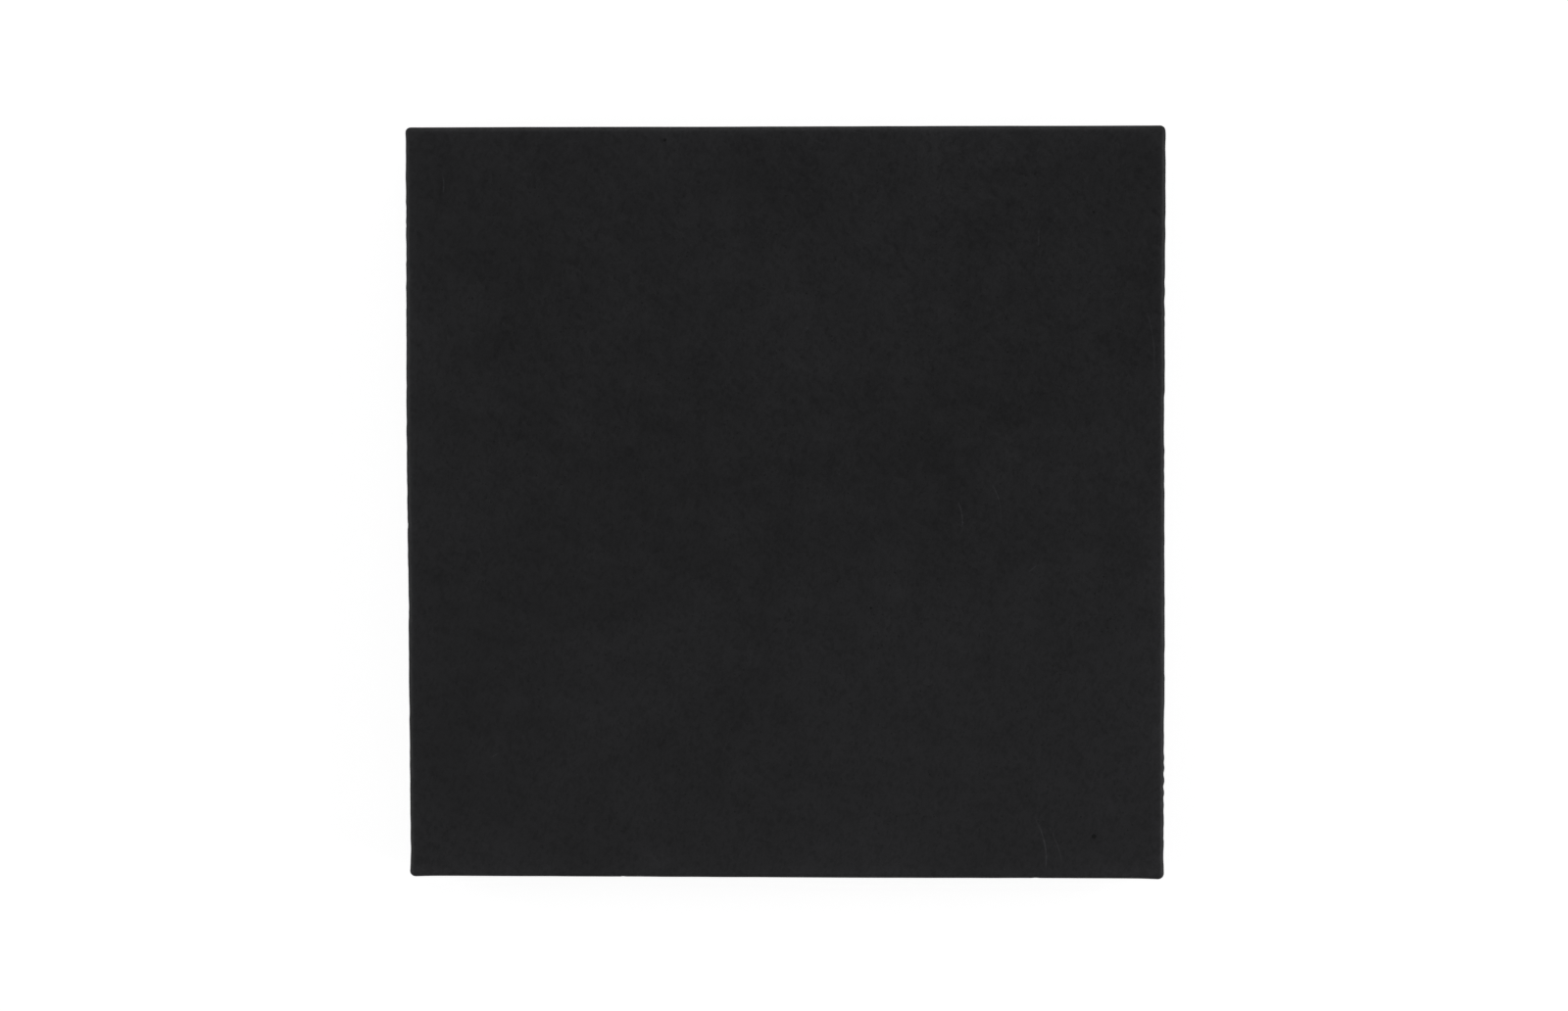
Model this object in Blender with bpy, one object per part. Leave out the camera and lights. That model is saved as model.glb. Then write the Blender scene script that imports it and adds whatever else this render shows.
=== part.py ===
"""A square stone slab for leather tooling, standing on four stick-on rubber feet.

Units are metres and +Z is up. The origin is on the bench, under the middle of the slab.
+X is the slab's right and +Y its rear.
"""

import math

import bmesh
import bpy

# Slab
SLAB_WIDTH = 0.3048  # 12 in, left to right
SLAB_DEPTH = 0.3030  # front to rear, ground a little under 12 in
SLAB_THICKNESS = 0.0300  # 3 cm stone stock
TOP_ARRIS = 0.0018  # width of the eased edge round the work face
BOTTOM_ARRIS = 0.0010  # width of the eased edge round the underside
CORNER_LAND = 0.0004  # what an upright corner's radius has over the wider arris

# Rubber feet
FOOT_DIAMETER = 0.0250  # at the glued face
FOOT_HEIGHT = 0.0030
FOOT_DRAFT = math.radians(12.0)  # the side leans in towards the bench
FOOT_ROUND = 0.0004  # fillet round the face on the bench
FOOT_INSET = 0.0300  # from the slab's sides to a foot's centre
GLUE_GAP = 0.0003  # between a foot and the slab, where the foot's film of glue lies

ARRIS_STEPS = 4
CORNER_STEPS = 6
ROUND_STEPS = 3
FOOT_SIDES = 64
SHADING_ANGLE = math.radians(30.0)

SLAB_BOTTOM = FOOT_HEIGHT + GLUE_GAP
CORNER_RADIUS = max(TOP_ARRIS, BOTTOM_ARRIS) + CORNER_LAND


def clear_scene():
    """Removes whatever the scene holds at the start."""
    for obj in list(bpy.data.objects):
        bpy.data.objects.remove(obj, do_unlink=True)


def make_material(name, colour, roughness):
    """A non-metal Principled material."""
    material = bpy.data.materials.new(name)
    material.use_nodes = True
    shader = material.node_tree.nodes["Principled BSDF"]
    shader.inputs["Base Color"].default_value = (*colour, 1.0)
    shader.inputs["Roughness"].default_value = roughness
    shader.inputs["Metallic"].default_value = 0.0
    material.diffuse_color = (*colour, 1.0)
    return material


def add_piece(name, form, material, location, parent):
    """Turns a bmesh into a smooth-shaded object, placed relative to its parent."""
    mesh = bpy.data.meshes.new(name)
    form.to_mesh(mesh)
    form.free()
    mesh.materials.append(material)
    mesh.shade_smooth()
    mesh.set_sharp_from_angle(angle=SHADING_ANGLE)
    piece = bpy.data.objects.new(name, mesh)
    bpy.context.scene.collection.objects.link(piece)
    piece.parent = parent
    piece.location = location
    return piece


def add_empty(name, location, parent=None):
    """An empty that places the pieces parented to it."""
    empty = bpy.data.objects.new(name, None)
    bpy.context.scene.collection.objects.link(empty)
    empty.parent = parent
    empty.location = location
    return empty


def upright_edges(form):
    """The four edges of a box that run along Z."""
    return [edge for edge in form.edges if edge.verts[0].co.xy == edge.verts[1].co.xy]


def rim_edges(form, height):
    """The edges round the flat end at this height of a closed, upright form."""
    ends = [face for face in form.faces if abs(face.calc_center_median().z - height) < 1e-7]
    return list({edge for face in ends for edge in face.edges})


def ease(form, edges, width, steps):
    """Rounds edges with a bevel that takes this width off each face."""
    bmesh.ops.bevel(
        form,
        geom=edges,
        offset=width,
        offset_type="OFFSET",
        segments=steps,
        profile=0.5,
        affect="EDGES",
    )
    form.normal_update()


def slab_form():
    """A box with rounded upright corners and eased top and bottom edges, its underside at Z 0."""
    form = bmesh.new()
    bmesh.ops.create_cube(form, size=1.0)
    bmesh.ops.scale(form, vec=(SLAB_WIDTH, SLAB_DEPTH, SLAB_THICKNESS), verts=form.verts)
    bmesh.ops.translate(form, vec=(0.0, 0.0, SLAB_THICKNESS / 2), verts=form.verts)
    ease(form, upright_edges(form), CORNER_RADIUS, CORNER_STEPS)
    ease(form, rim_edges(form, SLAB_THICKNESS), TOP_ARRIS, ARRIS_STEPS)
    ease(form, rim_edges(form, 0.0), BOTTOM_ARRIS, ARRIS_STEPS)
    return form


def foot_form():
    """A moulded disc whose side leans in towards a flat, round-edged face at Z 0."""
    glued_radius = FOOT_DIAMETER / 2
    form = bmesh.new()
    bmesh.ops.create_cone(
        form,
        cap_ends=True,
        segments=FOOT_SIDES,
        radius1=glued_radius - FOOT_HEIGHT * math.tan(FOOT_DRAFT),
        radius2=glued_radius,
        depth=FOOT_HEIGHT,
    )
    bmesh.ops.translate(form, vec=(0.0, 0.0, FOOT_HEIGHT / 2), verts=form.verts)
    ease(form, rim_edges(form, 0.0), FOOT_ROUND, ROUND_STEPS)
    return form


def foot_places():
    """Name and place of each foot, one inside each corner of the slab."""
    across = SLAB_WIDTH / 2 - FOOT_INSET
    along = SLAB_DEPTH / 2 - FOOT_INSET
    sides = {"left": -across, "right": across}
    ends = {"front": -along, "rear": along}
    return {f"foot_{end}_{side}": (x, y, 0.0) for end, y in ends.items() for side, x in sides.items()}


def build():
    clear_scene()
    stone = make_material("honed_black_granite", (0.0150, 0.0150, 0.0158), 0.55)
    rubber = make_material("black_rubber", (0.0180, 0.0180, 0.0180), 0.80)

    bench_point = add_empty("bench_point", (0.0, 0.0, 0.0))
    add_piece("granite_slab", slab_form(), stone, (0.0, 0.0, SLAB_BOTTOM), bench_point)
    for name, place in foot_places().items():
        add_piece(name, foot_form(), rubber, place, bench_point)


build()
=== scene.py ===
"""A square slab of honed black stone for tooling leather, on four stick-on rubber feet.

Metres and +Z up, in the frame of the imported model: X runs along the slab's front, towards its
right, and Y to its rear. Each surface is a grid of points worked out with numpy.
"""

import math

import bpy
import numpy as np
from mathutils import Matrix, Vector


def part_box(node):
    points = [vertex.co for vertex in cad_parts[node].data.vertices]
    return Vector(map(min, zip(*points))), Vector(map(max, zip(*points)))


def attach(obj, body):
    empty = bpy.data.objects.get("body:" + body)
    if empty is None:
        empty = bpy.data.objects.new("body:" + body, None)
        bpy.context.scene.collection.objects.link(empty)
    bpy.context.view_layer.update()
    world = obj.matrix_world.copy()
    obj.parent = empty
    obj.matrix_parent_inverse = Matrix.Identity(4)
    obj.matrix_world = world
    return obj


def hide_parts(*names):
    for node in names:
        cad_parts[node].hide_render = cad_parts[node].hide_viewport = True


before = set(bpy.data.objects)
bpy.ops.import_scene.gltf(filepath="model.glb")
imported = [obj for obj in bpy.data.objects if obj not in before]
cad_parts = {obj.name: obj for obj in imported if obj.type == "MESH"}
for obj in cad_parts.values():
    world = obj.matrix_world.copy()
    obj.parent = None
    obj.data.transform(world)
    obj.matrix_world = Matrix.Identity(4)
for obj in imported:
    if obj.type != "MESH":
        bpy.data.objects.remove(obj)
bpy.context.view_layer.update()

# Slab, as in the frame
SLAB_LOW, SLAB_HIGH = (np.array(corner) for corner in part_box("granite_slab"))
FACE_Z = SLAB_HIGH[2]
HALF_X, HALF_Y = (SLAB_HIGH - SLAB_LOW)[:2] / 2
TOP_ARRIS = 0.0018
BOTTOM_ARRIS = 0.0010
CORNER_RADIUS = 0.0022

# Grid of the slab's skin
STEPS_PER_SIDE = 512
TOP_ARRIS_ROWS = 7
SIDE_ROWS = 14
BOTTOM_ARRIS_ROWS = 5
RIM_MARGIN = 0.0003  # flat strip kept between the rim and the coarser face
STRIP = 0.0040  # width of each strip in which the steps double in length
CROWD_REACH = 0.004  # share of the face's width in which its lines crowd together inwards of a pit
CROWD_PULL = 4.0  # how much denser they get

# Pits in the work face: x, y, radius and depth. The face's lines crowd together 2 to 8 mm inwards of
# them in x and y and miss all but the third, so only that one is hollowed. The others show only by the
# darker tone at them.
PITS = (
    (0.1244, -0.1342, 0.00085, 0.00040),
    (0.1238, 0.1170, 0.00038, 0.00018),
    (0.0346, -0.0420, 0.00050, 0.00022),
    (-0.0477, 0.1462, 0.00060, 0.00022),
    (0.0895, 0.0610, 0.00030, 0.00013),
    (-0.0725, -0.0610, 0.00030, 0.00013),
)

# Light scratches in the work face: x, y, heading in degrees, length, bow, half width and strength
SCRATCHES = (
    (0.0709, -0.0050, 97, 0.0140, 0.0013, 0.00042, 1.15),
    (0.0857, 0.0005, 103, 0.0185, 0.0018, 0.00036, 0.85),
    (0.1040, -0.1375, 101, 0.0220, 0.0019, 0.00044, 1.20),
    (0.1092, -0.1370, 110, 0.0170, 0.0006, 0.00036, 0.70),
    (0.1018, 0.1066, 88, 0.0085, 0.0003, 0.00038, 1.00),
    (0.1471, 0.0664, 98, 0.0270, 0.0015, 0.00036, 0.80),
    (0.0996, -0.0260, 40, 0.0042, 0.0001, 0.00036, 0.85),
    (-0.1370, 0.1290, 92, 0.0090, 0.0006, 0.00042, 1.05),
    (-0.0522, -0.0039, 90, 0.0060, 0.0003, 0.00060, 0.45),
    (-0.1179, -0.1021, 32, 0.0040, 0.0001, 0.00036, 0.80),
    (0.0310, 0.0840, 64, 0.0230, 0.0009, 0.00020, 0.35),
    (-0.0860, 0.0310, 118, 0.0310, 0.0022, 0.00020, 0.30),
    (-0.0240, -0.0960, 75, 0.0190, 0.0010, 0.00020, 0.35),
)

# Pale rubbed patch on the work face: x, y, length along X and width
RUBBED_PATCH = (-0.0510, -0.1445, 0.0200, 0.0070)

# Waves of the sides, as height and spacing: the saw's flutes and the slower waves under them on the
# left and right, and the waves of the ground front and rear
FLUTES = (0.00010, 0.0019)
RIPPLES = (0.00009, 0.0047)
SLOW_WAVES = (0.00016, 0.0370)
GROUND_WAVES = (0.00005, 0.0520)
GROUND_RIPPLES = (0.00003, 0.0120)
FLUTE_PATCHES = 0.021  # spacing in which the flutes grow and fade along a side
FLUTE_LEAN = 0.02  # how far the flutes lean along the side for each step down

# Stretches of the right side with stronger ripples: place, half length, ripple length, height and
# how far past the place a crest is, in ripples
ROUGH_STRETCHES = (
    (-0.1130, 0.0090, 0.0050, 0.00022, 0.25),
    (0.0850, 0.0060, 0.0090, 0.00016, 0.0),
)

SIDE_FADE = 0.0060  # way from a corner in which the waves grow to their full height

# Flare of both front corners: height and reach
CORNER_FLARE = (0.00028, 0.0060)

# Long swells (plus) and hollows (minus) of the sides: side, place of the middle, half length, blend
# at either end and height. Sides and places are as for the chips below.
SWELLS = (
    (1, 0.0335, 0.0118, 0.0030, -0.00026),
    (1, -0.0600, 0.0270, 0.0080, 0.00020),
    (3, -0.0180, 0.0850, 0.0700, 0.00036),
    (0, 0.0100, 0.1000, 0.0800, 0.00012),
)

# Chips in the upper arris: side (0 front, 1 right, 2 rear, 3 left), place along it from its middle,
# anticlockwise, half length and depth
CHIPS = (
    (3, 0.0090, 0.0013, 0.00040),
    (1, 0.0745, 0.0010, 0.00022),
    (1, -0.0920, 0.0012, 0.00025),
    (1, 0.1180, 0.0009, 0.00020),
    (0, -0.0660, 0.0011, 0.00020),
    (0, 0.1010, 0.0016, 0.00028),
    (2, 0.0480, 0.0010, 0.00018),
    (3, -0.1120, 0.0011, 0.00022),
)

CHIP_RUN = 0.0019  # way of a chip's middle along the skin from the rim
CHIP_REACH = 0.0017  # half width of a chip across the arris


# Meshes


def make_piece(name, points, faces, maps=None, attributes=None):
    """A smooth-shaded mesh object at the origin.

    Each map has a place for every corner of every face, and each attribute a value for every point.
    """
    mesh = bpy.data.meshes.new(name)
    mesh.from_pydata(points.tolist(), [], faces)
    for map_name, places in (maps or {}).items():
        layer = mesh.uv_layers.new(name=map_name)
        layer.uv.foreach_set("vector", places.astype(np.float32).ravel())
    for attribute_name, values in (attributes or {}).items():
        attribute = mesh.attributes.new(attribute_name, "FLOAT", "POINT")
        attribute.data.foreach_set("value", values.astype(np.float32))
    mesh.shade_smooth()
    mesh.update()
    piece = bpy.data.objects.new(name, mesh)
    bpy.context.scene.collection.objects.link(piece)
    return piece


def ease(share):
    """0 to 1 with no slope at either end: 3 t squared less 2 t cubed, held outside."""
    held = np.clip(share, 0.0, 1.0)
    return held * held * (3.0 - 2.0 * held)


def wander(places, wave, seed):
    """Random heights up to the wave's height at even spacing, joined by an eased curve."""
    height, spacing = wave
    rng = np.random.default_rng(seed)
    steps = places / spacing
    low = np.floor(steps).astype(int)
    heights = rng.uniform(-1.0, 1.0, low.max() - low.min() + 2)
    before = low - low.min()
    return height * (heights[before] + (heights[before + 1] - heights[before]) * ease(steps - low))


def outline():
    """Core points, outward directions, side and place along the side for each step round the slab.

    Each side runs anticlockwise from the middle of one corner's arc to the middle of the next, in
    equal steps. A point of the outline is its core point plus a radius times its direction: the
    core slides while the direction stands still, and stands still while the direction swings
    through 45 degrees at either end.
    """
    core, outward, place = [], [], []
    for side in range(4):
        reach, offset = (HALF_X, HALF_Y) if side % 2 == 0 else (HALF_Y, HALF_X)
        straight = 2.0 * (reach - CORNER_RADIUS)
        swing = CORNER_RADIUS * math.pi / 4.0
        along = np.arange(STEPS_PER_SIDE) / STEPS_PER_SIDE * (straight + 2.0 * swing)
        slide = np.clip(along - swing, 0.0, straight) - straight / 2.0
        first_turn = np.clip(along, 0.0, swing) - swing
        last_turn = np.clip(along - swing - straight, 0.0, swing)
        turn = (first_turn + last_turn) / CORNER_RADIUS
        ahead = np.array([math.cos(side * math.pi / 2.0), math.sin(side * math.pi / 2.0)])
        aside = np.array([ahead[1], -ahead[0]])
        core.append(np.outer(slide, ahead) + (offset - CORNER_RADIUS) * aside)
        outward.append(np.outer(np.cos(turn), aside) + np.outer(np.sin(turn), ahead))
        place.append(along - swing - straight / 2.0)
    sides = np.repeat(np.arange(4), STEPS_PER_SIDE)
    return np.concatenate(core), np.concatenate(outward), sides, np.concatenate(place)


def edge_rows():
    """Inset from the side, drop below the work face, tilt and run of the skin for each row of the edge.

    The rows go from just inside the rim, over the upper arris as a quarter circle, down the side,
    close together at first, and under the lower arris as a quarter circle. Tilt is 0 facing up, 1
    sideways and 2 down. Run is the way along the skin from the rim, negative on the face.
    """
    height = SLAB_HIGH[2] - SLAB_LOW[2]
    flank = height - TOP_ARRIS - BOTTOM_ARRIS
    upper = np.linspace(0.0, math.pi / 2.0, TOP_ARRIS_ROWS)
    lower = np.linspace(0.0, math.pi / 2.0, BOTTOM_ARRIS_ROWS)
    down = flank * np.linspace(0.0, 1.0, SIDE_ROWS + 2)[1:-1] ** 1.8
    inset = np.concatenate([
        [TOP_ARRIS + RIM_MARGIN],
        TOP_ARRIS * (1.0 - np.sin(upper)),
        np.zeros(SIDE_ROWS),
        BOTTOM_ARRIS * (1.0 - np.cos(lower)),
        [BOTTOM_ARRIS + RIM_MARGIN],
    ])
    drop = np.concatenate([
        [0.0],
        TOP_ARRIS * (1.0 - np.cos(upper)),
        TOP_ARRIS + down,
        height - BOTTOM_ARRIS * (1.0 - np.sin(lower)),
        [height],
    ])
    quarter = math.pi / 2.0
    tilt = np.concatenate([[0.0], upper / quarter, np.ones(SIDE_ROWS), 1.0 + lower / quarter, [2.0]])
    flank_end = TOP_ARRIS * quarter + flank
    run = np.concatenate([
        [-RIM_MARGIN],
        TOP_ARRIS * upper,
        TOP_ARRIS * quarter + down,
        flank_end + BOTTOM_ARRIS * lower,
        [flank_end + BOTTOM_ARRIS * quarter + RIM_MARGIN],
    ])
    return inset, drop, tilt, run


def side_relief(points, sides, place, drop):
    """How far the sides stand out of true, for each row and step.

    The left and right sides keep the flutes of the saw: short waves that lean a little with depth,
    ride on slower ones, and grow and fade along the side. The right side has rough stretches too:
    a cosine under a bell curve. The front and rear are ground and their waves are low. The waves
    fade out at the corners. The long swells are added, and both front corners flare outwards in a
    bell curve.
    """
    row, step = drop[:, None], place[None, :]
    side = sides[None, :]
    along = step + 1.1 * side  # keeps the sides' waves apart
    leaning = along + FLUTE_LEAN * row
    strength = 0.55 + wander(along, (0.45, FLUTE_PATCHES), 11)
    flutes = strength * wander(leaning, FLUTES, 12) + wander(leaning, RIPPLES, 13)
    sawn = flutes + wander(along, SLOW_WAVES, 14)
    for middle, reach, ripple, height, crest in ROUGH_STRETCHES:
        away = step - middle
        swell = height * np.exp(-((away / reach) ** 2)) * np.cos(2.0 * math.pi * (away / ripple - crest))
        sawn = sawn + (side == 1) * swell
    ground = wander(along, GROUND_WAVES, 15) + wander(along, GROUND_RIPPLES, 16)
    fade = ease((HALF_Y - np.abs(step)) / SIDE_FADE)
    relief = fade * np.where(side % 2 == 1, sawn, ground)
    for swollen_side, middle, reach, blend, height in SWELLS:
        relief = relief + height * (side == swollen_side) * ease((reach - np.abs(step - middle)) / blend)
    corner_gap = np.hypot(HALF_X - np.abs(points[:, 0]), HALF_Y + points[:, 1])
    flare, flare_reach = CORNER_FLARE
    return relief + flare * np.exp(-((corner_gap / flare_reach) ** 2))[None, :]


def chip_relief(sides, place, run):
    """Depth of the chips bitten out of the upper arris, for each row and step.

    A chip is a bowl: one less the squares of the ways along and across the arris from its middle,
    in half lengths, never below none.
    """
    depth = np.zeros((len(run), len(place)))
    for side, middle, reach, deepest in CHIPS:
        along = (place[None, :] - middle) / reach
        across = (run[:, None] - CHIP_RUN) / CHIP_REACH
        bowl = np.clip(1.0 - along**2 - across**2, 0.0, None)
        depth = np.maximum(depth, (sides[None, :] == side) * deepest * bowl)
    return depth


def rectangle_ring(inset, fractions_x, fractions_y, height):
    """Points round a rectangle this far inside the slab's sides, at shares of its width and depth."""
    half_x, half_y = HALF_X - inset, HALF_Y - inset
    across, along = (2.0 * fractions_x[:-1] - 1.0) * half_x, (2.0 * fractions_y[:-1] - 1.0) * half_y
    front = np.stack([across, np.full_like(across, -half_y)], 1)
    right = np.stack([np.full_like(along, half_x), along], 1)
    back_across = (2.0 * fractions_x[:0:-1] - 1.0) * half_x
    back_along = (2.0 * fractions_y[:0:-1] - 1.0) * half_y
    rear = np.stack([back_across, np.full_like(back_across, half_y)], 1)
    left = np.stack([np.full_like(back_along, -half_x), back_along], 1)
    ring = np.concatenate([front, right, rear, left])
    return np.column_stack([ring, np.full(len(ring), height)])


def crowded(count, centres):
    """Shares from 0 to 1 in count steps that crowd together near some centres.

    The density of lines is 1 plus a bell curve round each centre, and a line is drawn wherever the
    sum of the density so far passes another even part of the whole.
    """
    fine = np.linspace(0.0, 1.0, 20001)
    density = np.ones_like(fine)
    for centre in centres:
        density = density + CROWD_PULL * np.exp(-(((fine - centre) / CROWD_REACH) ** 2))
    total = np.concatenate([[0.0], np.cumsum((density[1:] + density[:-1]) / 2.0)])
    return np.interp(np.linspace(0.0, total[-1], count + 1), total, fine)


def quad_band(rows, columns):
    """Quads of a band of rows that closes on itself, as rows and unwrapped columns of their corners."""
    row, column = np.meshgrid(np.arange(rows - 1), np.arange(columns), indexing="ij")
    row, column = row.ravel(), column.ravel()
    corner_rows = np.stack([row, row + 1, row + 1, row], 1)
    corner_columns = np.stack([column, column, column + 1, column + 1], 1)
    return corner_rows, corner_columns


def halving_strip(outer, inner, count):
    """Triangles between a ring of count points and an inner ring of half as many, counted from the
    numbers of their first points, anticlockwise seen from inside the rings' own side."""
    step = np.arange(count // 2)
    a, b, c = outer + 2 * step, outer + 2 * step + 1, outer + (2 * step + 2) % count
    d, e = inner + step, inner + (step + 1) % (count // 2)
    return np.concatenate([np.stack([a, b, d], 1), np.stack([b, e, d], 1), np.stack([b, c, e], 1)])


def face_skin(rim, count, height, lines_x, lines_y, first):
    """Points and faces of a flat face inside a rim of count points numbered from rim.

    Two strips halve the steps, then a grid of lines fills the rest. The new points are numbered
    from first: the middle ring, the inner ring and the grid's inside.
    """
    per_side = count // 4
    even = np.linspace(0.0, 1.0, per_side // 2 + 1)
    middle = rectangle_ring(STRIP, even, even, height)
    inner = rectangle_ring(2.0 * STRIP, lines_x, lines_y, height)
    half_x, half_y = HALF_X - 2.0 * STRIP, HALF_Y - 2.0 * STRIP
    across, along = (2.0 * lines_x - 1.0) * half_x, (2.0 * lines_y - 1.0) * half_y
    inside_x, inside_y = np.meshgrid(across[1:-1], along[1:-1])
    inside = np.column_stack([inside_x.ravel(), inside_y.ravel(), np.full(inside_x.size, height)])
    middle_first, inner_first = first, first + len(middle)
    inside_first = inner_first + len(inner)

    lines = per_side // 4
    number = np.empty((lines + 1, lines + 1), int)
    ring = inner_first + np.arange(4 * lines)
    number[0, :-1] = ring[:lines]
    number[:-1, -1] = ring[lines : 2 * lines]
    number[-1, :0:-1] = ring[2 * lines : 3 * lines]
    number[:0:-1, 0] = ring[3 * lines :]
    number[1:-1, 1:-1] = inside_first + np.arange(len(inside)).reshape(lines - 1, lines - 1)
    quads = np.stack([number[:-1, :-1], number[:-1, 1:], number[1:, 1:], number[1:, :-1]], -1)
    strips = [halving_strip(rim, middle_first, count), halving_strip(middle_first, inner_first, count // 2)]
    return np.concatenate([middle, inner, inside]), np.concatenate(strips), quads.reshape(-1, 4)


# Slab

# Places of the charts in the map, as lowest and highest shares of its width
WORK_FACE_CHART = (0.005, 0.745)
SIDE_CHARTS = (0.752, 0.995)
SIDE_CHART_FILL = 0.92  # share of a side's strip of the map that its chart fills
UNDERSIDE_CHART = (0.755, 0.995)


def pit_relief(x, y):
    """Depth of the pits in the work face.

    Each is a bowl: one less half the square of the distance from its middle in radii, never below none.
    """
    depth = np.zeros_like(x)
    for centre_x, centre_y, radius, deepest in PITS:
        away = ((x - centre_x) ** 2 + (y - centre_y) ** 2) / radius**2
        depth = np.maximum(depth, deepest * np.clip(1.0 - away / 2.0, 0.0, None))
    return depth


def slab_edge():
    """Points of the edge's rows and their unfolded places, with each row's tilt and run.

    A point is the core point plus the corner radius, less the inset, times the outward direction,
    with the relief of the sides added and the chips taken off along the skin's normal. The relief
    grows from under half at the rim to its full height low on the arris. Unfolded, a point is as
    far beyond the rim as the way along the skin.
    """
    core, outward, sides, place = outline()
    inset, drop, tilt, run = edge_rows()
    true_line = core + CORNER_RADIUS * outward
    held = ease(tilt / 0.6)[:, None]
    push = side_relief(true_line, sides, place, drop) * (0.45 + 0.55 * held)
    bite = chip_relief(sides, place, run)
    lean = (np.minimum(tilt, 1.0) * math.pi / 2.0)[:, None]
    reach = CORNER_RADIUS - inset[:, None] + push - bite * np.sin(lean)
    flat = core[None] + reach[..., None] * outward[None]
    height = FACE_Z - drop[:, None] - bite * np.cos(lean)
    points = np.concatenate([flat, height[..., None]], -1)
    beyond = CORNER_RADIUS - TOP_ARRIS + run
    unfolded = core[None] + beyond[:, None, None] * outward[None]
    return points, unfolded, tilt, run


def spread(values, low, high, chart):
    """Places in a chart for values that run from low to high."""
    return chart[0] + (chart[1] - chart[0]) * (values - low) / (high - low)


def flat_charts(points, plan):
    """Places of all the points in the chart of the work face, from their plan with the edge unfolded, and
    in the chart of the underside, as seen from below."""
    arris_length = TOP_ARRIS * math.pi / 2.0
    wide = HALF_X - TOP_ARRIS + arris_length
    deep = HALF_Y - TOP_ARRIS + arris_length
    work = np.stack([
        spread(plan[:, 0], -wide, wide, WORK_FACE_CHART),
        spread(plan[:, 1], -deep, deep, WORK_FACE_CHART),
    ], -1)
    under = np.stack([
        spread(points[:, 0], HALF_X, -HALF_X, UNDERSIDE_CHART),
        spread(points[:, 1], -HALF_Y, HALF_Y, WORK_FACE_CHART),
    ], -1)
    return work, under


def side_charts(corner_rows, corner_columns, run):
    """Places of the edge's face corners in the charts of the four sides, a strip of the map each."""
    side = corner_columns[:, :1] // STEPS_PER_SIDE
    share = (corner_columns - side * STEPS_PER_SIDE) / STEPS_PER_SIDE
    strip_height = (SIDE_CHARTS[1] - SIDE_CHARTS[0]) / 4.0
    strip_low = SIDE_CHARTS[0] + strip_height * (side + (1.0 - SIDE_CHART_FILL) / 2.0)
    arris_length = TOP_ARRIS * math.pi / 2.0
    flank_run = (run[corner_rows] - arris_length) / (run[-2] - arris_length)
    return np.stack([
        spread(share, 0.0, 1.0, WORK_FACE_CHART),
        strip_low + SIDE_CHART_FILL * strip_height * (1.0 - flank_run),
    ], -1)


def make_slab():
    """The whole skin of the slab: work face, edge all round and underside, closed into one body."""
    edge, unfolded, tilt, run = slab_edge()
    rows, steps = edge.shape[:2]
    pits_x = [(pit[0] + HALF_X) / (2.0 * HALF_X) for pit in PITS]
    pits_y = [(pit[1] + HALF_Y) / (2.0 * HALF_Y) for pit in PITS]
    lines = steps // 16  # a quarter of a side's steps
    lines_x, lines_y = crowded(lines, pits_x), crowded(lines, pits_y)
    even = np.linspace(0.0, 1.0, lines + 1)

    work_first = rows * steps
    work, work_strips, work_quads = face_skin(0, steps, FACE_Z, lines_x, lines_y, work_first)
    work[:, 2] -= pit_relief(work[:, 0], work[:, 1])
    under_first = work_first + len(work)
    last_rim = (rows - 1) * steps
    under, under_strips, under_quads = face_skin(last_rim, steps, SLAB_LOW[2], even, even, under_first)
    points = np.concatenate([edge.reshape(-1, 3), work, under])

    corner_rows, corner_columns = quad_band(rows, steps)
    band = corner_rows * steps + corner_columns % steps
    faces = [*band.tolist(), *work_strips.tolist(), *work_quads.tolist()]
    faces += [*under_strips[:, ::-1].tolist(), *under_quads[:, ::-1].tolist()]

    plan = np.concatenate([unfolded.reshape(-1, 2), work[:, :2], under[:, :2]])
    work_map, under_map = flat_charts(points, plan)
    side_map = side_charts(corner_rows, corner_columns, run)
    first_row = corner_rows[:, :1]
    on_face = first_row < TOP_ARRIS_ROWS
    on_underside = first_row == rows - 2
    band_map = np.where(on_face[..., None], work_map[band], side_map)
    band_map = np.where(on_underside[..., None], under_map[band], band_map)
    places = np.concatenate([
        band_map.reshape(-1, 2),
        work_map[work_strips].reshape(-1, 2),
        work_map[work_quads].reshape(-1, 2),
        under_map[under_strips[:, ::-1]].reshape(-1, 2),
        under_map[under_quads[:, ::-1]].reshape(-1, 2),
    ])
    tilts = np.concatenate([np.repeat(tilt, steps), np.zeros(len(work)), np.full(len(under), 2.0)])
    slab = make_piece("slab_stone", points, faces, {"OFBake": places}, {"tilt": tilts})
    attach(slab, "root")
    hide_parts("granite_slab")
    return slab


# Feet

FOOT_NODES = ("foot_front_left", "foot_front_right", "foot_rear_left", "foot_rear_right")
FOOT_SEGMENTS = 96
FOOT_DRAFT = math.radians(12.0)
FOOT_ROUND = 0.0004
GRIP_RINGS = 4
GRIP_DEPTH = 0.00045
GRIP_REACH = 0.93  # share of the bench side's radius that the rings fill
GRIP_ROWS = 20  # rows of points in each ring
GLUE_STEP = 0.0006  # how far the film of glue stops short of the rim
GLUE_SEAM = 0.00002  # left between the glue and the stone


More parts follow.
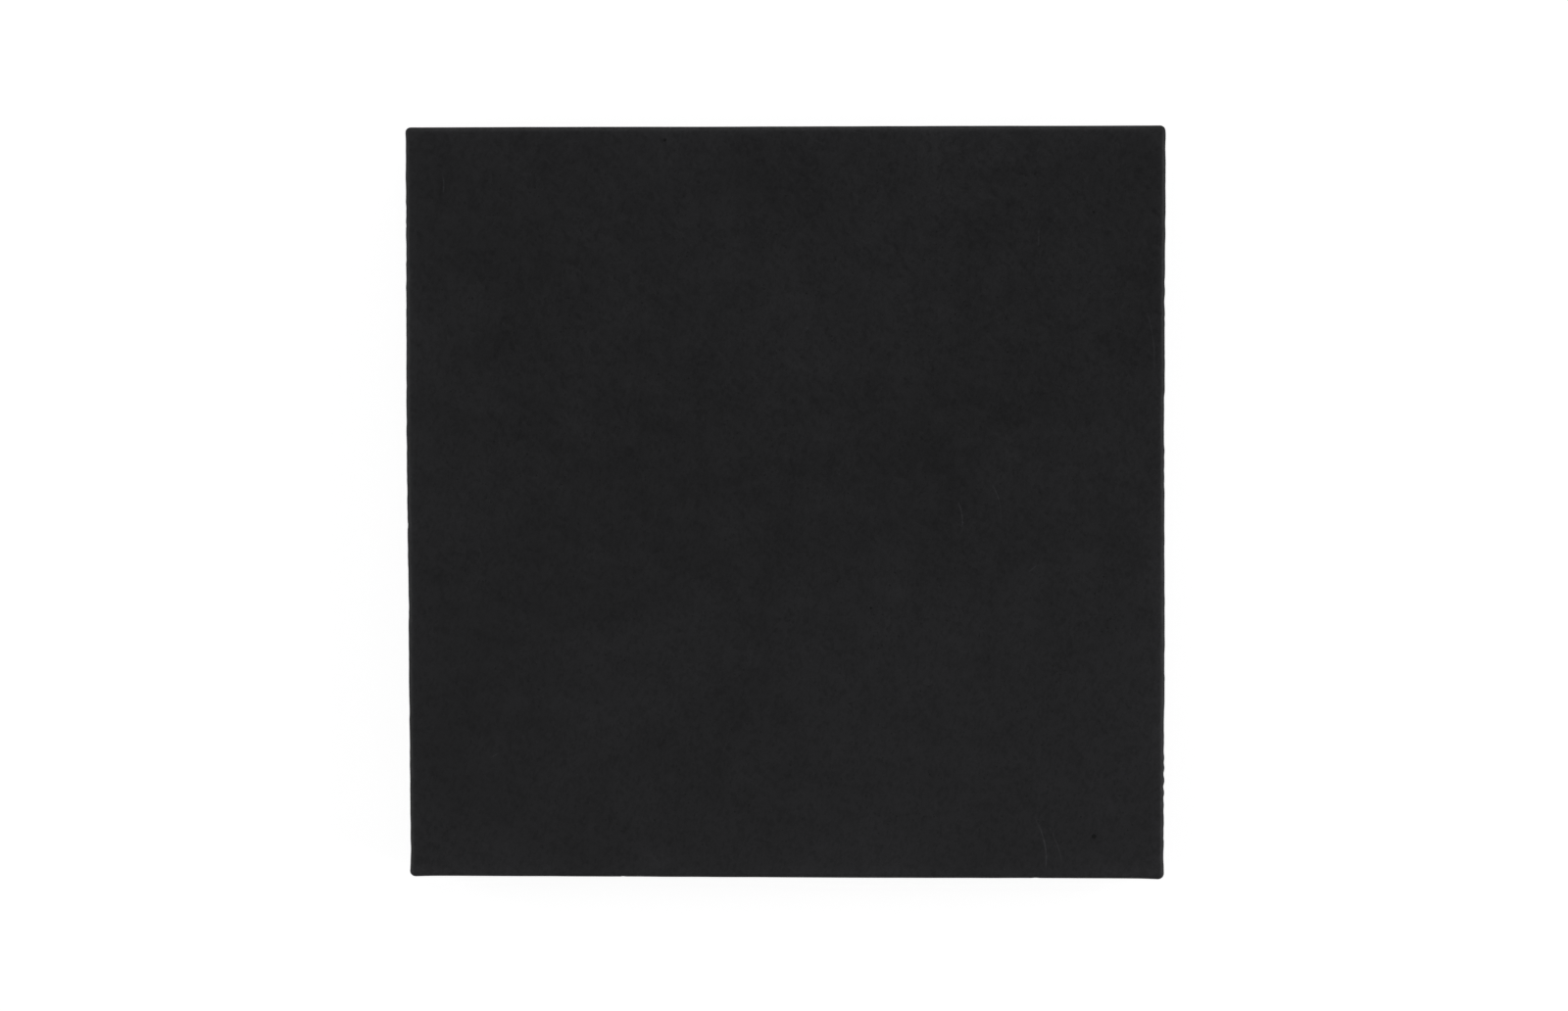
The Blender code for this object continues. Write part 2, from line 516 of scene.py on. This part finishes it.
def foot_profile(radius, height, stone_z):
    """Radius and height of a foot's section, from the middle of its glued side to the middle of its
    bench side.

    The glue is a flat step. The rim is a short round and the flank leans in by the draft. The bench
    side carries grip rings: grooves with eased walls, where a cosine of the way out is high enough.
    """
    turn = np.linspace(math.pi / 2.0, -FOOT_DRAFT, 7)
    rim = radius - FOOT_ROUND
    top = np.stack([rim + FOOT_ROUND * np.cos(turn), height - FOOT_ROUND + FOOT_ROUND * np.sin(turn)], 1)
    bench_turn = np.linspace(-FOOT_DRAFT, -math.pi / 2.0, 7)
    bench_radius = radius - (height - 2.0 * FOOT_ROUND) * math.tan(FOOT_DRAFT) - FOOT_ROUND
    bench_x = bench_radius + FOOT_ROUND * np.cos(bench_turn)
    bench = np.stack([bench_x, FOOT_ROUND + FOOT_ROUND * np.sin(bench_turn)], 1)
    glue_radius = rim - GLUE_STEP
    glue_z = stone_z - GLUE_SEAM
    glue_x = np.array([0.4 * glue_radius, glue_radius, glue_radius, rim])
    glue = np.stack([glue_x, np.array([glue_z, glue_z, height, height])], 1)
    out = np.linspace(0.985, 0.02, GRIP_ROWS * GRIP_RINGS)
    wave = np.cos(2.0 * math.pi * (GRIP_RINGS + 0.5) * out)
    rings = GRIP_DEPTH * ease((wave + 0.10) / 0.70) * ease((GRIP_REACH - out) / 0.03)
    sole = np.stack([bench_radius * out, rings], 1)
    return np.concatenate([glue, top[1:], bench, sole])


def make_foot(node):
    """A rubber foot: its section turned round its own upright line, closed by a point at either end."""
    low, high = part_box(node)
    centre_x, centre_y = (low.x + high.x) / 2.0, (low.y + high.y) / 2.0
    section = foot_profile((high.x - low.x) / 2.0, high.z, SLAB_LOW[2])
    angle = np.arange(FOOT_SEGMENTS) / FOOT_SEGMENTS * 2.0 * math.pi
    x = centre_x + section[:, :1] * np.cos(angle)
    y = centre_y + section[:, :1] * np.sin(angle)
    z = np.broadcast_to(section[:, 1:], x.shape)
    skin = np.stack([x, y, z], -1).reshape(-1, 3)
    poles = np.array([[centre_x, centre_y, section[0, 1]], [centre_x, centre_y, section[-1, 1]]])
    corner_rows, corner_columns = quad_band(len(section), FOOT_SEGMENTS)
    band = corner_rows * FOOT_SEGMENTS + corner_columns % FOOT_SEGMENTS
    here = np.arange(FOOT_SEGMENTS)
    after = (here + 1) % FOOT_SEGMENTS
    last = (len(section) - 1) * FOOT_SEGMENTS
    lid = np.stack([here, after, np.full_like(here, len(skin))], 1)
    sole = np.stack([last + after, last + here, np.full_like(here, len(skin) + 1)], 1)
    faces = [*band.tolist(), *lid.tolist(), *sole.tolist()]
    foot = make_piece("rubber_" + node, np.concatenate([skin, poles]), faces)
    foot.data.set_sharp_from_angle(angle=math.radians(40.0))
    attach(foot, "root")
    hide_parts(node)
    return foot


# Materials

STONE_COLOUR = (0.0262, 0.0262, 0.0286)
RUBBER_COLOUR = (0.016, 0.016, 0.017)
SIDE_ARC = 2.9  # how fast the saw's arcs bend on the sides and underneath, per metre
UNDERSIDE_ARC = 2.6
SHAKE_SIZE = 0.0007  # size of the noise that shakes the limits of the crystals, and its reach
SHAKE_REACH = 0.0005


def add(tree, kind, inputs=None, **settings):
    """A node with its settings and inputs. An input, by name or number, is set to a value or joined
    to a socket."""
    made = tree.nodes.new(kind)
    for name, value in settings.items():
        setattr(made, name, value)
    for name, value in (inputs or {}).items():
        if isinstance(value, bpy.types.NodeSocket):
            tree.links.new(value, made.inputs[name])
        else:
            made.inputs[name].default_value = value
    return made


def work_out(tree, operation, *values):
    """The result of a Math node."""
    return add(tree, "ShaderNodeMath", dict(enumerate(values)), operation=operation).outputs[0]


def remap(tree, value, low, high, to_low, to_high, smooth=False):
    """A value taken from one range to another, held at its ends."""
    kind = "SMOOTHSTEP" if smooth else "LINEAR"
    inputs = {"Value": value, "From Min": low, "From Max": high, "To Min": to_low, "To Max": to_high}
    return add(tree, "ShaderNodeMapRange", inputs, interpolation_type=kind).outputs["Result"]


def grain(tree, vector, size, detail=2.0, roughness=0.5):
    """Smooth noise with features of this size in metres, about 0.5 on average."""
    inputs = {"Vector": vector, "Scale": 1.0 / size, "Detail": detail, "Roughness": roughness}
    return add(tree, "ShaderNodeTexNoise", inputs, normalize=True).outputs[0]


def placed(tree, vector, location, heading=0.0):
    """Coordinates from a place: moved so that it is the origin, and turned so that X is its heading."""
    moved = add(tree, "ShaderNodeVectorMath", {0: vector, 1: location}, operation="SUBTRACT").outputs[0]
    inputs = {"Vector": moved, "Rotation": (0.0, 0.0, -math.radians(heading))}
    return add(tree, "ShaderNodeMapping", inputs).outputs[0]


def product(tree, first, *others):
    """The values multiplied together."""
    for value in others:
        first = work_out(tree, "MULTIPLY", first, value)
    return first


def scaled(tree, colour, tone):
    """A colour times a tone."""
    return add(tree, "ShaderNodeVectorMath", {0: colour, "Scale": tone}, operation="SCALE").outputs[0]


def bumped(tree, height):
    """The direction of a surface with this relief in metres."""
    return add(tree, "ShaderNodeBump", {"Height": height, "Distance": 1.0, "Strength": 1.0}).outputs[0]


def split(tree, vector):
    """The three coordinates of a vector."""
    return add(tree, "ShaderNodeSeparateXYZ", {0: vector}).outputs


def new_material(name):
    """A material with only its output and shader, and the two of them joined."""
    material = bpy.data.materials.new(name)
    material.use_nodes = True
    tree = material.node_tree
    tree.nodes.clear()
    output = add(tree, "ShaderNodeOutputMaterial")
    shader = add(tree, "ShaderNodeBsdfPrincipled")
    tree.links.new(shader.outputs[0], output.inputs["Surface"])
    return material, tree, shader


def scratch_mark(tree, where, x, y, heading, length, bow, half_width):
    """How much of a point a scratch covers: a bowed line that tapers at both ends.

    Its way across the heading is the bow times the square of the way along, in half lengths, less a
    third of the bow, so its middle lies to one side of the heading and its ends to the other.
    """
    along, across, _ = split(tree, placed(tree, where, (x, y, 0.0), heading))
    share = work_out(tree, "MULTIPLY", along, 2.0 / length)
    square = work_out(tree, "MULTIPLY", share, share)
    curve = work_out(tree, "MULTIPLY_ADD", square, bow, -bow / 3.0)
    off = work_out(tree, "ABSOLUTE", work_out(tree, "SUBTRACT", across, curve))
    line = remap(tree, off, 0.3 * half_width, half_width, 1.0, 0.0)
    taper = remap(tree, square, 0.25, 1.0, 1.0, 0.0)
    return work_out(tree, "MULTIPLY", line, taper)


def all_scratches(tree, where):
    """The scratches of the work face together, broken up along their lengths."""
    total = None
    for *shape, strength in SCRATCHES:
        mark = work_out(tree, "MULTIPLY", scratch_mark(tree, where, *shape), strength)
        total = mark if total is None else work_out(tree, "ADD", total, mark)
    skips = remap(tree, grain(tree, where, 0.0016, 3.0), 0.38, 0.55, 0.50, 1.0)
    return work_out(tree, "MULTIPLY", total, skips)


def pit_darkening(tree, where):
    """What is left of the stone's tone at the pits, where it is darkened: 1 outside them, less inside."""
    shade = None
    for x, y, radius, _ in PITS:
        inputs = {0: where, 1: (x, y, FACE_Z)}
        away = add(tree, "ShaderNodeVectorMath", inputs, operation="DISTANCE").outputs["Value"]
        # the tone is darkened at each pit, most within its radius, and eases back a little beyond it
        darkened = remap(tree, away, 0.80 * radius, 1.35 * radius, 0.08, 1.0, smooth=True)
        shade = darkened if shade is None else work_out(tree, "MULTIPLY", shade, darkened)
    return shade


def rim_gap(tree, where):
    """The way in from the nearest side of the slab, rounded off where two sides are as near."""
    x, y, _ = split(tree, where)
    gap_x = work_out(tree, "SUBTRACT", HALF_X, work_out(tree, "ABSOLUTE", x))
    gap_y = work_out(tree, "SUBTRACT", HALF_Y, work_out(tree, "ABSOLUTE", y))
    return work_out(tree, "SMOOTH_MIN", gap_x, gap_y, 0.012)


def rubbed_patch(tree, where):
    """How much of a point the pale rubbed patch near the front rim covers: an oval with an uneven limit."""
    x, y, length, width = RUBBED_PATCH
    along, across, _ = split(tree, placed(tree, where, (x, y, 0.0)))
    share_along = work_out(tree, "DIVIDE", along, length / 2.0)
    share_across = work_out(tree, "DIVIDE", across, width / 2.0)
    square = work_out(tree, "MULTIPLY", share_across, share_across)
    away = work_out(tree, "MULTIPLY_ADD", share_along, share_along, square)
    uneven = work_out(tree, "MULTIPLY_ADD", grain(tree, where, 0.003, 4.0, 0.7), 1.6, -0.8)
    return remap(tree, work_out(tree, "ADD", away, uneven), 0.2, 1.3, 1.0, 0.0, smooth=True)


def border_share(tree, where, gap):
    """1 at the rim of the slab and 0 from about 24 mm in, with an uneven inner limit."""
    uneven = work_out(tree, "MULTIPLY_ADD", grain(tree, where, 0.016, 3.0), 0.016, -0.008)
    return remap(tree, work_out(tree, "ADD", gap, uneven), 0.001, 0.022, 1.0, 0.0, smooth=True)


def scattered_dots(tree, where, spacing, radius, share):
    """Round spots of about this radius, one in some of the cells of a scatter with this spacing.

    A cell has a spot if its own random number is under the share, and a second random number
    makes the spot smaller.
    """
    cells = add(tree, "ShaderNodeTexVoronoi", {"Vector": where, "Scale": 1.0 / spacing})
    chance, size, _ = split(tree, cells.outputs["Color"])
    limit = remap(tree, size, 0.0, 1.0, 0.45 * radius / spacing, radius / spacing)
    inside = work_out(tree, "DIVIDE", cells.outputs["Distance"], limit)
    spot = remap(tree, inside, 0.70, 1.10, 1.0, 0.0)
    return work_out(tree, "MULTIPLY", spot, work_out(tree, "LESS_THAN", chance, share))


def crystal_layer(tree, where, size, turn):
    """Two random numbers for each crystal of a layer: laths of this width, over twice as long, that
    lie along a heading of their own."""
    stretch = (1.0 / size, 0.42 / size, 0.75 / size)
    turned = add(tree, "ShaderNodeMapping", {"Vector": where, "Rotation": turn}).outputs[0]
    laths = add(tree, "ShaderNodeVectorMath", {0: turned, 1: stretch}, operation="MULTIPLY").outputs[0]
    cells = add(tree, "ShaderNodeTexVoronoi", {"Vector": laths, "Scale": 1.0, "Randomness": 1.0})
    tone, gloss, _ = split(tree, cells.outputs["Color"])
    return tone, gloss


def stretched(tree, where, scale_x, scale_y, scale_z, detail=3.0):
    """Noise drawn out along an axis by giving that axis a small scale."""
    inputs = {0: where, 1: (scale_x, scale_y, scale_z)}
    drawn = add(tree, "ShaderNodeVectorMath", inputs, operation="MULTIPLY").outputs[0]
    return grain(tree, drawn, 1.0, detail, 0.6)


def saw_sweep(tree, where):
    """Coordinates in which the arcs of a saw blade about 0.36 m across run straight.

    On the sides the arcs lean with height, and underneath they bow with the way across: each
    point's place along the cut has the square of its height or of its way across added, times how
    fast the arc bends.
    """
    x, y, z = split(tree, where)
    rise = product(tree, z, z, SIDE_ARC)
    bow = product(tree, x, x, UNDERSIDE_ARC)
    side_x = work_out(tree, "ADD", x, rise)
    side_y = work_out(tree, "ADD", work_out(tree, "ADD", y, rise), bow)
    return add(tree, "ShaderNodeCombineXYZ", {"X": side_x, "Y": side_y}).outputs[0]


def face_shares(tree):
    """How far a point belongs to the ground and sawn faces, the sawn one, the honed one and the flanks.

    Tilt is 0 facing up, 1 sideways and 2 down.
    """
    tilt = add(tree, "ShaderNodeAttribute", attribute_name="tilt").outputs["Fac"]
    ground = remap(tree, tilt, 0.40, 1.00, 0.0, 1.0, smooth=True)
    sawn = remap(tree, tilt, 1.30, 1.90, 0.0, 1.0, smooth=True)
    honed = work_out(tree, "SUBTRACT", 1.0, ground)
    flank = work_out(tree, "SUBTRACT", ground, sawn)
    return ground, sawn, honed, flank


def shaken(tree, where):
    """Coordinates shaken by fine noise, which makes the limits of crystals and spots ragged."""
    inputs = {"Vector": where, "Scale": 1.0 / SHAKE_SIZE, "Detail": 1.0}
    wobble = add(tree, "ShaderNodeTexNoise", inputs).outputs["Color"]
    inputs = {0: wobble, 1: (SHAKE_REACH,) * 3, 2: where}
    return add(tree, "ShaderNodeVectorMath", inputs, operation="MULTIPLY_ADD").outputs[0]


def mineral_shades(tree, where, ragged, lath_tone, blade_tone, specks, border):
    """Shades of the stone itself: slow clouds, mottle, two layers of crystals, fine grain, dark specks
    that thin out towards the rim, and rare bright flecks."""
    clouds = remap(tree, grain(tree, where, 0.110, 1.0), 0.30, 0.70, 0.93, 1.07)
    mottle = remap(tree, grain(tree, where, 0.050, 6.0, 0.85), 0.35, 0.65, 0.83, 1.17)
    laths = remap(tree, lath_tone, 0.05, 0.50, 0.80, 1.05)
    blades = remap(tree, blade_tone, 0.00, 0.45, 0.88, 1.04)
    fine = remap(tree, grain(tree, where, 0.0009, 3.0, 0.60), 0.30, 0.70, 0.90, 1.10)
    thick = remap(tree, grain(tree, where, 0.014, 3.0, 0.6), 0.38, 0.62, 0.15, 1.0)
    thin_out = remap(tree, border, 0.0, 1.0, 0.75, 0.25)
    speck_share = work_out(tree, "MULTIPLY", thick, thin_out)
    dark = work_out(tree, "SUBTRACT", 1.0, work_out(tree, "MULTIPLY", specks, speck_share))
    flecks = scattered_dots(tree, ragged, 0.0042, 0.00024, 0.30)
    bright = work_out(tree, "MULTIPLY_ADD", flecks, 0.9, 1.0)
    return clouds, mottle, laths, blades, fine, dark, bright


def wear_and_painted_light(tree, where, gap, border, honed):
    """Shades of use and of painted light: light scratches, darker pits, a paler border, scuffs at the rim,
    a rubbed patch, and painted light that makes the front lighter and the rear darker."""
    marks = work_out(tree, "MULTIPLY_ADD", all_scratches(tree, where), honed, 1.0)
    pits_darker = pit_darkening(tree, where)
    paler = work_out(tree, "MULTIPLY_ADD", border, 0.080, 1.0)
    scuffs = remap(tree, gap, 0.0004, 0.0065, 1.15, 1.0, smooth=True)
    to_rear = split(tree, where)[1]
    # painted light: the stone is made lighter towards the front and darker towards the rear, with an uneven
    # limit
    front_place = work_out(tree, "MULTIPLY_ADD", grain(tree, where, 0.045, 3.0), 0.10, to_rear)
    painted_front_light = remap(tree, front_place, -0.110, 0.110, 1.095, 0.95, smooth=True)
    patch = work_out(tree, "MULTIPLY", rubbed_patch(tree, where), honed)
    rubbed = work_out(tree, "MULTIPLY_ADD", patch, 0.20, 1.0)
    return marks, pits_darker, paler, scuffs, painted_front_light, rubbed


def cut_shades(tree, ground, sawn, flank, grinding, side_sawing, under_sawing):
    """Shades of the cut faces: their dust, the lines of the grinding and the arcs of the saw."""
    dust = work_out(tree, "MULTIPLY_ADD", ground, 0.50, 1.0)
    sawdust = work_out(tree, "MULTIPLY_ADD", sawn, 0.45, 1.0)
    ground_lines = remap(tree, grinding, 0.35, 0.65, -0.16, 0.16)
    lined = work_out(tree, "MULTIPLY_ADD", ground_lines, flank, 1.0)
    side_lines = remap(tree, side_sawing, 0.35, 0.65, -0.05, 0.05)
    side_arced = work_out(tree, "MULTIPLY_ADD", side_lines, flank, 1.0)
    under_lines = remap(tree, under_sawing, 0.35, 0.65, -0.17, 0.17)
    arced = work_out(tree, "MULTIPLY_ADD", under_lines, sawn, side_arced)
    return dust, sawdust, lined, arced


def stone_relief(tree, where, crystals, specks, sawn, flank, grinding, side_sawing, under_sawing):
    """Height of the stone's surface in metres: honing grain, crystals, pocks at the dark specks, and the
    lines of the cut faces."""
    honing = work_out(tree, "MULTIPLY", grain(tree, where, 0.00045, 3.0, 0.6), 0.000004)
    facets = work_out(tree, "MULTIPLY_ADD", crystals, 0.0000025, honing)
    pocks = work_out(tree, "MULTIPLY_ADD", specks, -0.000012, facets)
    ground_lines = work_out(tree, "MULTIPLY", grinding, 0.000014)
    side_lines = work_out(tree, "MULTIPLY_ADD", side_sawing, 0.000010, ground_lines)
    flank_height = work_out(tree, "MULTIPLY", side_lines, flank)
    sawn_height = product(tree, under_sawing, sawn, 0.000090)
    return work_out(tree, "ADD", pocks, work_out(tree, "ADD", flank_height, sawn_height))


def stone_roughness(tree, where, gap, crystals, ground, sawn):
    """Roughness in patches, rougher on the ground and sawn faces and at the worn rim, and a little
    different on each crystal."""
    patches = remap(tree, grain(tree, where, 0.0130, 4.0, 0.6), 0.30, 0.70, 0.42, 0.49)
    matt = work_out(tree, "MULTIPLY_ADD", ground, 0.06, patches)
    worn_rim = remap(tree, gap, 0.0006, 0.0032, 1.0, 0.0, smooth=True)
    matt = work_out(tree, "MULTIPLY_ADD", worn_rim, 0.15, matt)
    matt = work_out(tree, "MULTIPLY_ADD", sawn, 0.15, matt)
    crystal_gloss = work_out(tree, "MULTIPLY_ADD", crystals, 0.09, -0.045)
    return work_out(tree, "ADD", matt, crystal_gloss)


def honed_stone():
    """Black stone of fine dark crystals: honed on top, ground on the sides and sawn underneath.

    Its tone is the product of the shades of the stone, of its use and of painted light, and of its cut
    faces.
    """
    material, tree, shader = new_material("honed black stone")
    where = add(tree, "ShaderNodeTexCoord").outputs["Object"]
    ground, sawn, honed, flank = face_shares(tree)
    gap = rim_gap(tree, where)
    border = border_share(tree, where, gap)
    ragged = shaken(tree, where)
    lath_tone, lath_gloss = crystal_layer(tree, ragged, 0.00085, (0.5, 0.3, 0.4))
    blade_tone, blade_gloss = crystal_layer(tree, ragged, 0.00130, (-0.4, 0.7, 2.1))
    specks = scattered_dots(tree, ragged, 0.0017, 0.00042, 0.55)
    grinding = stretched(tree, where, 30.0, 30.0, 2600.0)
    sweep = saw_sweep(tree, where)
    side_sawing = stretched(tree, sweep, 620.0, 620.0, 0.0)
    under_sawing = stretched(tree, sweep, 7.0, 380.0, 0.0)
    lines = (grinding, side_sawing, under_sawing)

    own = mineral_shades(tree, where, ragged, lath_tone, blade_tone, specks, border)
    wear_and_light = wear_and_painted_light(tree, where, gap, border, honed)
    cut = cut_shades(tree, ground, sawn, flank, *lines)
    tone = product(tree, *own, *wear_and_light, *cut)
    tree.links.new(scaled(tree, STONE_COLOUR, tone), shader.inputs["Base Color"])
    relief = stone_relief(tree, where, lath_gloss, specks, sawn, flank, *lines)
    tree.links.new(bumped(tree, relief), shader.inputs["Normal"])
    roughness = stone_roughness(tree, where, gap, blade_gloss, ground, sawn)
    tree.links.new(roughness, shader.inputs["Roughness"])
    shader.inputs["IOR"].default_value = 1.54
    return material


def foot_rubber():
    """Moulded black rubber: a fine satin grain, paler where the bench has worn it, with a little dust."""
    material, tree, shader = new_material("moulded black rubber")
    where = add(tree, "ShaderNodeTexCoord").outputs["Object"]
    _, _, z = split(tree, where)
    worn = remap(tree, z, 0.0001, 0.0009, 1.0, 0.0, smooth=True)
    patches = remap(tree, grain(tree, where, 0.0035, 4.0, 0.6), 0.35, 0.70, 0.75, 1.35)
    dust = remap(tree, grain(tree, where, 0.0006, 3.0, 0.7), 0.58, 0.72, 1.0, 1.7)
    scuffed = work_out(tree, "MULTIPLY_ADD", worn, 0.55, 1.0)
    tone = product(tree, patches, dust, scuffed)
    tree.links.new(scaled(tree, RUBBER_COLOUR, tone), shader.inputs["Base Color"])
    moulding = work_out(tree, "MULTIPLY", grain(tree, where, 0.00035, 2.0, 0.6), 0.000012)
    tree.links.new(bumped(tree, moulding), shader.inputs["Normal"])
    roughness = work_out(tree, "MULTIPLY_ADD", worn, 0.12, 0.62)
    tree.links.new(roughness, shader.inputs["Roughness"])
    return material


def studio_paper():
    """Matt white paper that glows a little, and lets a view from behind or below through."""
    material, tree, shader = new_material("studio paper")
    shader.inputs["Base Color"].default_value = (0.60, 0.60, 0.60, 1.0)
    shader.inputs["Roughness"].default_value = 0.9
    shader.inputs["Specular IOR Level"].default_value = 0.1
    shader.inputs["Emission Color"].default_value = (1.0, 1.0, 1.0, 1.0)
    shader.inputs["Emission Strength"].default_value = 0.86
    behind = add(tree, "ShaderNodeNewGeometry").outputs["Backfacing"]
    clear = add(tree, "ShaderNodeBsdfTransparent")
    mix = add(tree, "ShaderNodeMixShader", {0: behind, 1: shader.outputs[0], 2: clear.outputs[0]})
    output = next(node for node in tree.nodes if node.type == "OUTPUT_MATERIAL")
    tree.links.new(mix.outputs[0], output.inputs["Surface"])
    return material


# Studio

FLOOR_RADIUS = 2.5
DOME_RADIUS = 6.0
WALL_GLOW = 0.12
CEILING_GLOW = 0.03

SOFTBOX_DISTANCE = 2.4

# Soft lights: name, azimuth, elevation, width, height and radiance
SOFTBOXES = (
    ("right softbox", 0.0, 30.0, 1.8, 1.3, 1.9),
    ("rear softbox", 90.0, 34.0, 1.8, 1.3, 1.0),
    ("left softbox", 180.0, 34.0, 1.8, 1.3, 1.45),
    ("front overhead softbox", -90.0, 68.0, 1.0, 0.6, 0.55),
)

CAMERA_LENS = 112.5
CAMERA_PLACE = (0.0847, 0.1297, FACE_Z + 1.9646)
CAMERA_TURN = (-3.797, 2.469, -0.123)  # degrees


def turned_sheet(name, radius, height):
    """A sheet turned round the slab's upright line from the radius and height of each of its rings."""
    around = 96
    angle = np.arange(around) / around * 2.0 * math.pi
    x, y = radius[:, None] * np.cos(angle), radius[:, None] * np.sin(angle)
    skin = np.stack([x, y, np.broadcast_to(height[:, None], x.shape)], -1).reshape(-1, 3)
    corner_rows, corner_columns = quad_band(len(radius), around)
    band = corner_rows * around + corner_columns % around
    sheet = make_piece(name, skin, [np.arange(around).tolist(), *band.tolist()])
    return sheet


def make_sweep(paper):
    """A floor of white paper, which also lights the slab's sides, and a round backdrop that only the
    camera sees: a dome, half circles from under the floor to overhead."""
    floor = turned_sheet("studio_floor", np.array([0.6, 1.5, FLOOR_RADIUS]), np.zeros(3))
    turn = np.linspace(-0.49 * math.pi, 0.495 * math.pi, 48)
    backdrop = turned_sheet("studio_backdrop", DOME_RADIUS * np.cos(turn), DOME_RADIUS * np.sin(turn))
    for sheet in (floor, backdrop):
        sheet.data.materials.append(paper)
        sheet.visible_glossy = False
    backdrop.visible_diffuse = False
    backdrop.visible_shadow = False


def softbox(name, azimuth, elevation, width, height, radiance):
    """A flat soft light that faces the middle of the slab.

    Azimuth is anticlockwise from +X and elevation up from the floor, in degrees. Its power is its
    radiance times its area times pi.
    """
    light = bpy.data.lights.new(name, "AREA")
    light.shape = "RECTANGLE"
    light.size, light.size_y = width, height
    light.energy = radiance * width * height * math.pi
    lamp = bpy.data.objects.new(name, light)
    turn, rise = math.radians(azimuth), math.radians(elevation)
    offset = np.array([math.cos(rise) * math.cos(turn), math.cos(rise) * math.sin(turn), math.sin(rise)])
    lamp.location = SOFTBOX_DISTANCE * offset + np.array([0.0, 0.0, FACE_Z])
    lamp.rotation_euler = (math.pi / 2.0 - rise, 0.0, turn + math.pi / 2.0)
    lamp.visible_camera = False
    bpy.context.scene.collection.objects.link(lamp)


def studio_air():
    """Dim light from everywhere: paler near the horizon, as from pale walls, and dark overhead."""
    world = bpy.data.worlds.new("studio air")
    world.use_nodes = True
    tree = world.node_tree
    direction = add(tree, "ShaderNodeTexCoord").outputs["Generated"]
    height = split(tree, direction)[2]
    glow = remap(tree, height, 0.20, 0.75, WALL_GLOW, CEILING_GLOW, smooth=True)
    tree.links.new(glow, tree.nodes["Background"].inputs["Color"])
    return world


def light_studio():
    """Soft light from the right and left, less from the rear and little from high in front."""
    for light in SOFTBOXES:
        softbox(*light)
    bpy.context.scene.world = studio_air()
    bpy.context.scene.view_settings.view_transform = "Standard"


def place_camera():
    """A long lens almost straight above the slab, a little to the right and rear of its middle."""
    camera = bpy.data.cameras.new("camera")
    camera.lens = CAMERA_LENS
    camera.sensor_width = 36.0
    holder = bpy.data.objects.new("camera", camera)
    holder.location = CAMERA_PLACE
    holder.rotation_euler = tuple(math.radians(angle) for angle in CAMERA_TURN)
    bpy.context.scene.collection.objects.link(holder)
    bpy.context.scene.camera = holder


place_camera()
light_studio()
make_sweep(studio_paper())

stone = honed_stone()
make_slab().data.materials.append(stone)

rubber = foot_rubber()
for foot_node in FOOT_NODES:
    make_foot(foot_node).data.materials.append(rubber)
